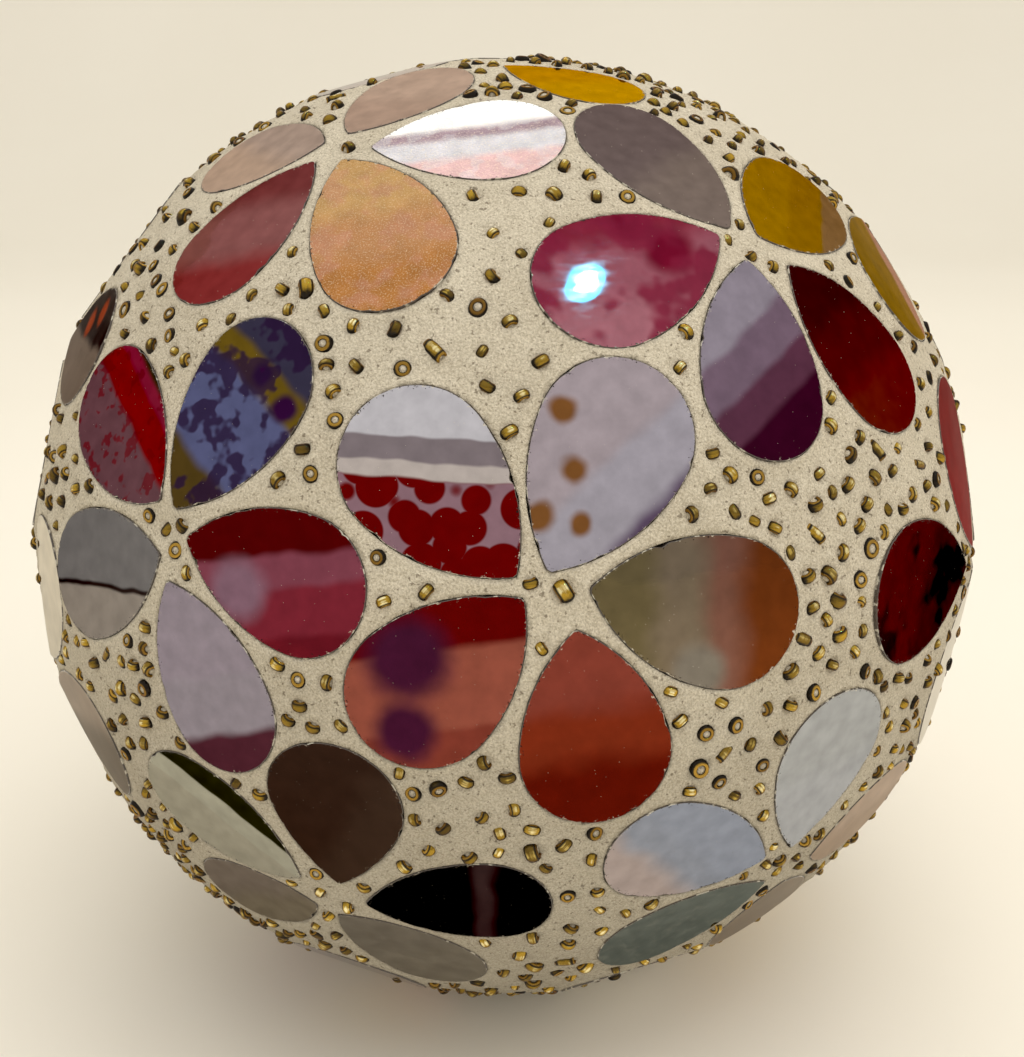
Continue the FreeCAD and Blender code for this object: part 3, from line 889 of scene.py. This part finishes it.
def clip_triangles(points, triangles, signed):
    """The part of the mesh where signed is not negative."""
    above = signed > 0
    count = above[triangles].sum(axis=1)
    below = (signed < 0)[triangles].sum(axis=1)
    kept = list(map(tuple, triangles[(below == 0) & (count > 0)]))
    new_points, made = [], {}

    def cut(a, b):
        key = (min(a, b), max(a, b))
        if key not in made:
            part = signed[a] / (signed[a] - signed[b])
            made[key] = len(points) + len(new_points)
            new_points.append(points[a] + (points[b] - points[a]) * part)
        return made[key]

    for triangle in triangles[(below > 0) & (count > 0)]:
        ring = []
        for a, b in zip(triangle, np.roll(triangle, -1)):
            if signed[a] >= 0:
                ring.append(a)
            if signed[a] * signed[b] < 0:
                ring.append(cut(a, b))
        kept += [(ring[0], ring[i], ring[i + 1]) for i in range(1, len(ring) - 1)]
    return unit(np.vstack([points, new_points])), np.array(kept)


def drop_unused(points, faces):
    used, index = np.unique(faces, return_inverse=True)
    return points[used], index.reshape(faces.shape)


def bead_mounds(directions):
    """Height of the grout pushed up round each bead."""
    heights = np.zeros(len(directions))
    for beads in BEADS.values():
        for bead in beads:
            outwards = outwards_at(bead.point)
            near = np.flatnonzero(directions @ outwards > BEAD_NEAR)
            away = np.linalg.norm(directions[near] - outwards, axis=1) * GROUT_RADIUS
            ridge = 0.22 * MM * np.exp(-((away - 1.3 * bead.radius) / (0.6 * MM)) ** 2)
            seat = 0.45 * MM * np.exp(-(away / (0.75 * bead.radius)) ** 2)
            mound = np.maximum(heights[near], ridge) - seat
            heights[near] = np.where(away < 1.6 * bead.radius, mound, heights[near])
    return heights


def grout_heights(directions, away, lift):
    """Distance of the grout's surface from the ball's centre in each direction."""
    open_ground = np.clip(away / (2.2 * MM), 0, 1)
    waves = sum(height * noise_at(directions * fineness) for height, fineness in GROUT_WAVES)
    relief = waves * open_ground
    heights = GROUT_RADIUS - 0.12 * MM + lift + relief + bead_mounds(directions) * open_ground
    return np.minimum(heights, GROUT_RADIUS + 0.35 * MM)


def flat_foot(points, distance):
    """Presses everything under the foot's plane up onto it."""
    points = points.copy()
    points[:, 2] = np.maximum(points[:, 2], CENTRE[2] - distance)
    return points


def make_grout(material):
    """One closed skin: sandy outside, walls down beside each glass plate, floor under it, round inside."""
    directions, triangles = skin_grid()
    away, second, _, _ = petal_field(directions)
    directions, signed = snap_to_edge(directions, triangles, away - ragged_gap(directions, away + second))
    directions, triangles = clip_triangles(directions, triangles, signed)
    directions, triangles = drop_unused(directions, triangles)
    away, _, owner, lift = petal_field(directions)
    heights = grout_heights(directions, away, lift)
    top = flat_foot(CENTRE + directions * heights[:, None], FOOT_DISTANCE)

    edges = drawn_edges(triangles)
    keys = edges[:, 0].astype(np.int64) * len(top) + edges[:, 1]
    twins = edges[:, 1].astype(np.int64) * len(top) + edges[:, 0]
    rim = edges[~np.isin(keys, twins)]
    beside = petal_field(unit(directions[rim].mean(axis=1)))[2]
    lips, index = np.unique(rim * len(PLATES) + beside[:, None], return_inverse=True)
    index = index.reshape(rim.shape)
    below = lips % len(PLATES)
    normals = np.array([plate.normal for plate in PLATES])
    mirrors = np.array([plate.point for plate in PLATES])
    bottoms = top[lips // len(PLATES)]
    drop = ((bottoms - mirrors[below]) * normals[below]).sum(axis=1) + GLASS + UNDER_GLASS
    bottoms = bottoms - drop[:, None] * normals[below]
    floors = mirrors - (GLASS + UNDER_GLASS) * normals
    lip_start, floor_start = len(top), len(top) + len(lips)
    walls = [(b, a, lip_start + lip_a, lip_start + lip_b) for (a, b), (lip_a, lip_b) in zip(rim, index)]
    caps = [(lip_start + lip_b, lip_start + lip_a, floor_start + plate)
            for (lip_a, lip_b), plate in zip(index, beside)]

    inner, inner_triangles = sphere_grid(INNER_FREQUENCY)
    inner = flat_foot(CENTRE + inner * CORE_RADIUS, FOOT_DISTANCE - 2 * MM)
    inner_start = floor_start + len(floors)
    inner_faces = inner_triangles[:, ::-1] + inner_start

    points = np.vstack([top, bottoms, floors, inner])
    faces = [tuple(face) for face in triangles] + walls + caps + [tuple(face) for face in inner_faces]
    smooth = [True] * len(triangles) + [False] * (len(walls) + len(caps)) + [True] * len(inner_faces)
    grout = new_object("grout_skin", points, faces, [material], smooth=smooth)
    # grout_depth carries that painted shade: full on the walls and floors under the glass, fading over the
    # top within 0.35 mm of each petal
    depth = np.zeros(len(points))
    depth[:len(top)] = 0.35 * np.clip(1 - away / (0.35 * MM), 0, 1)
    depth[lip_start:inner_start] = 1
    set_attribute(grout, "grout_depth", "FLOAT", depth)
    settle(grout, "grout", "grout")


# ---------------------------------------------------------------- beads

def bead_profile(bead_kind):
    """Closed outline of a bead's glass, as (radius, height) parts of its outside radius."""
    hole, face, half = BEAD_FORMS[bead_kind]
    outline = []
    for step in range(BEAD_SIDE_STEPS + 1):
        angle = math.pi * (step / BEAD_SIDE_STEPS - 0.5)
        outline.append((face + (1 - face) * math.cos(angle), half * math.sin(angle)))
    outline.append((hole + 0.12, half * 0.97))
    outline.append((hole, half * 0.8))
    outline.append((hole, -half * 0.8))
    outline.append((hole + 0.12, -half * 0.97))
    return outline


def make_beads(node, materials, rng):
    """Every bead of one node: a lathed ring of glass with grout packed into its hole."""
    kind = node.split("_")[0]
    outline = np.array(bead_profile(kind))
    turn = np.arange(BEAD_TURNS) * 2 * math.pi / BEAD_TURNS
    ring = len(outline)
    hole, half = BEAD_FORMS[kind].hole, BEAD_FORMS[kind].half
    points, faces, slots, places = [], [], [], []
    for bead in BEADS[node]:
        outwards = outwards_at(bead.point)
        axis = bead.axis if bead.axis @ outwards > 0 else -bead.axis
        side = unit(np.cross(axis, [0, 0, 1] if abs(axis[2]) < 0.9 else [1, 0, 0]))
        other = np.cross(axis, side)
        size = bead.radius * rng.uniform(0.84, 1.0)
        squash = rng.uniform(0.9, 1.0)
        shade = rng.random()
        lean = rng.uniform(0, 2 * math.pi)
        start = sum(len(p) for p in points)
        around = np.repeat(turn[:, None], ring, axis=1)
        out = outline[:, 0] * (1 + 0.05 * np.cos(around * 2 + lean))
        spots = (out * np.cos(around))[..., None] * side * squash + (out * np.sin(around))[..., None] * other
        spots = spots + np.broadcast_to(outline[:, 1], out.shape)[..., None] * axis
        spots = spots.reshape(-1, 3)
        plug = [axis * half * level for level in (PLUG_LEVEL, -PLUG_LEVEL)]
        circle = np.cos(turn)[:, None] * side * squash + np.sin(turn)[:, None] * other
        rims = [circle * hole * PLUG_TIGHT + part * PLUG_DISH for part in plug]
        points.append(bead.point + size * np.vstack([spots, *rims, plug]))
        along = np.tile(outline[:, 1] / half, BEAD_TURNS)
        # Painted light: how far each point faces a light above and outwards, for the painted highlight and
        # shaded flanks
        bright = unit(outwards + HIGHLIGHT_LIFT * UP)
        light_facing = np.repeat(np.cos(turn) * (side @ bright) + np.sin(turn) * (other @ bright), ring)
        extra = 2 * BEAD_TURNS + 2
        places.append(np.column_stack([
            np.concatenate([along, np.zeros(extra)]),
            np.concatenate([light_facing, np.zeros(extra)]),
            np.full(len(along) + extra, shade)]))
        for i in range(BEAD_TURNS):
            here, there = start + i * ring, start + (i + 1) % BEAD_TURNS * ring
            for j in range(ring):
                k = (j + 1) % ring
                faces.append((here + j, there + j, there + k, here + k))
                slots.append(0)
        rim_start = start + BEAD_TURNS * ring
        for end in range(2):
            middle = rim_start + 2 * BEAD_TURNS + end
            for i in range(BEAD_TURNS):
                a = rim_start + end * BEAD_TURNS + i
                b = rim_start + end * BEAD_TURNS + (i + 1) % BEAD_TURNS
                faces.append((a, b, middle) if end == 0 else (b, a, middle))
                slots.append(1)
        for i in range(BEAD_TURNS):
            a, b = rim_start + i, rim_start + (i + 1) % BEAD_TURNS
            faces.append((a, a + BEAD_TURNS, b + BEAD_TURNS, b))
            slots.append(1)
    piece = new_object(node + "_glass", np.vstack(points), faces, materials, slots)
    set_attribute(piece, "bead_place", "FLOAT_VECTOR", np.vstack(places))
    settle(piece, "bead_glass", node)


# ---------------------------------------------------------------- camera, lights and floor

def aim(thing, place, target):
    thing.location = place
    thing.rotation_euler = (Vector(target) - Vector(place)).to_track_quat("-Z", "Y").to_euler()


def make_camera():
    data = bpy.data.cameras.new("camera")
    data.lens = CAMERA_LENS
    data.shift_x, data.shift_y = CAMERA_SHIFT
    data.clip_start = 0.01
    camera = bpy.data.objects.new("camera", data)
    bpy.context.scene.collection.objects.link(camera)
    back = Vector((0, -math.cos(CAMERA_ELEVATION), math.sin(CAMERA_ELEVATION)))
    aim(camera, Vector(CENTRE) + CAMERA_DISTANCE * back, Vector(CENTRE))
    bpy.context.scene.camera = camera


def area_light(name, place, size, power, colour, target=None, shape="RECTANGLE", mirrored=True, cast=True):
    """Light panel; one that isn't mirrored doesn't show in the mirrors, and one that isn't cast only does."""
    data = bpy.data.lights.new(name, "AREA")
    data.shape = shape
    data.size, data.size_y = size
    data.energy = power
    data.color = colour
    light = bpy.data.objects.new(name, data)
    light.visible_glossy = mirrored
    light.visible_diffuse = cast
    bpy.context.scene.collection.objects.link(light)
    aim(light, place, target or Vector(CENTRE))


# ---------------------------------------------------------------- felt pad and floor

def make_pad(material, rng):
    """Felt disc with a soft, slightly frayed edge."""
    low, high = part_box("felt_pad")
    radius = (high.x - low.x) / 2
    height = high.z - low.z
    turns = 160
    profile = [(0.8, 0), (0.975, 0), (0.995, 0.12), (1.0, 0.5), (0.995, 0.88), (0.975, 1), (0.8, 1)]
    fray = [1 - 0.006 * rng.random() for _ in range(turns)]
    points, faces = [(0, 0, low.z)], []
    for out, level in profile:
        for i in range(turns):
            angle = 2 * math.pi * i / turns
            reach = radius * out * (fray[i] if out > 0.9 else 1)
            points.append((reach * math.cos(angle), reach * math.sin(angle), low.z + height * level))
    points.append((0, 0, high.z))
    rings = len(profile)
    for ring in range(rings - 1):
        faces += band_faces(1 + ring * turns, 1 + (ring + 1) * turns, turns)
    faces += [(0, 1 + (i + 1) % turns, 1 + i) for i in range(turns)]
    last = 1 + (rings - 1) * turns
    faces += [(last + i, last + (i + 1) % turns, len(points) - 1) for i in range(turns)]
    pad = new_object("felt_disc", points, faces, [material])
    settle(pad, "felt", "felt_pad")


def make_floor(material):
    """Plain pale table that curves up far behind the ball."""
    steps = [(-3.0, 0.0), (-0.6, 0.0), (0.0, 0.0), (1.2, 0.0)]
    for step in range(1, 13):
        angle = math.pi / 2 * step / 12
        steps.append((1.2 + 0.8 * math.sin(angle), 0.8 * (1 - math.cos(angle))))
    steps.append((2.0, 3.2))
    points = [(x, y, z) for y, z in steps for x in (-4.0, 4.0)]
    faces = [(2 * i, 2 * i + 1, 2 * i + 3, 2 * i + 2) for i in range(len(steps) - 1)]
    new_object("floor", points, faces, [material])


def make_world():
    """Pale studio all round, a little darker and warmer low down."""
    world = bpy.data.worlds.new("studio")
    world.use_nodes = True
    bpy.context.scene.world = world
    tree = world.node_tree
    sky = tree.nodes["Background"]
    where = tree.nodes.new("ShaderNodeTexCoord").outputs["Generated"]
    split = tree.nodes.new("ShaderNodeSeparateXYZ")
    tree.links.new(where, split.inputs[0])
    ramp = tree.nodes.new("ShaderNodeValToRGB")
    tree.links.new(split.outputs[2], ramp.inputs[0])
    for place, _ in WORLD_STOPS[1:-1]:
        ramp.color_ramp.elements.new(place)
    for stop, (place, code) in zip(ramp.color_ramp.elements, WORLD_STOPS):
        stop.position = place
        stop.color = srgb(code)
    tree.links.new(ramp.outputs[0], sky.inputs["Color"])
    sky.inputs["Strength"].default_value = WORLD_STRENGTH


# ---------------------------------------------------------------- building the picture

def paint_node(node, material):
    """Gives a CAD node that stays in the picture its own finish."""
    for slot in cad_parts[node].material_slots:
        slot.material = material


def build():
    make_camera()
    rng = random.Random(SEED)
    glass = [mirror_material(), edge_material()]
    for node in PETAL_NODES:
        make_flower(node, [plate for plate in PLATES if plate.node == node], glass, rng)
    grout = grout_material()
    make_grout(grout)
    beads = [bead_material(), grout]
    for node in BEAD_NODES:
        make_beads(node, beads, rng)
    make_pad(felt_material(), rng)
    plastic = plastic_material()
    paint_node("core_upper_half", plastic)
    paint_node("core_lower_half", plastic)
    paint_node("petal_adhesive", adhesive_material())
    make_floor(floor_material())
    make_world()
    area_light("softbox_top", (0.15, -0.25, 1.3), (1.1, 0.9), 6, (1.0, 0.97, 0.92), mirrored=False)
    area_light("softbox_right", (1.2, -0.5, 1.0), (0.7, 0.7), 3, (1.0, 0.94, 0.86), mirrored=False)
    area_light("lamp", (0.477, -0.216, 1.24), (0.046, 0.046), 0.1, (0.0, 0.8, 0.95), shape="DISK", cast=False)
    area_light("lamp_heart", (0.475, -0.215, 1.235), (0.018, 0.018), 0.15, (0.3, 1.0, 0.7),
               shape="DISK", cast=False)
    area_light("panel_behind", (-0.1, 0.67, 1.08), (0.5, 0.17), 0.8, (1.0, 1.0, 1.0))
    bpy.context.scene.view_settings.view_transform = "Standard"


build()
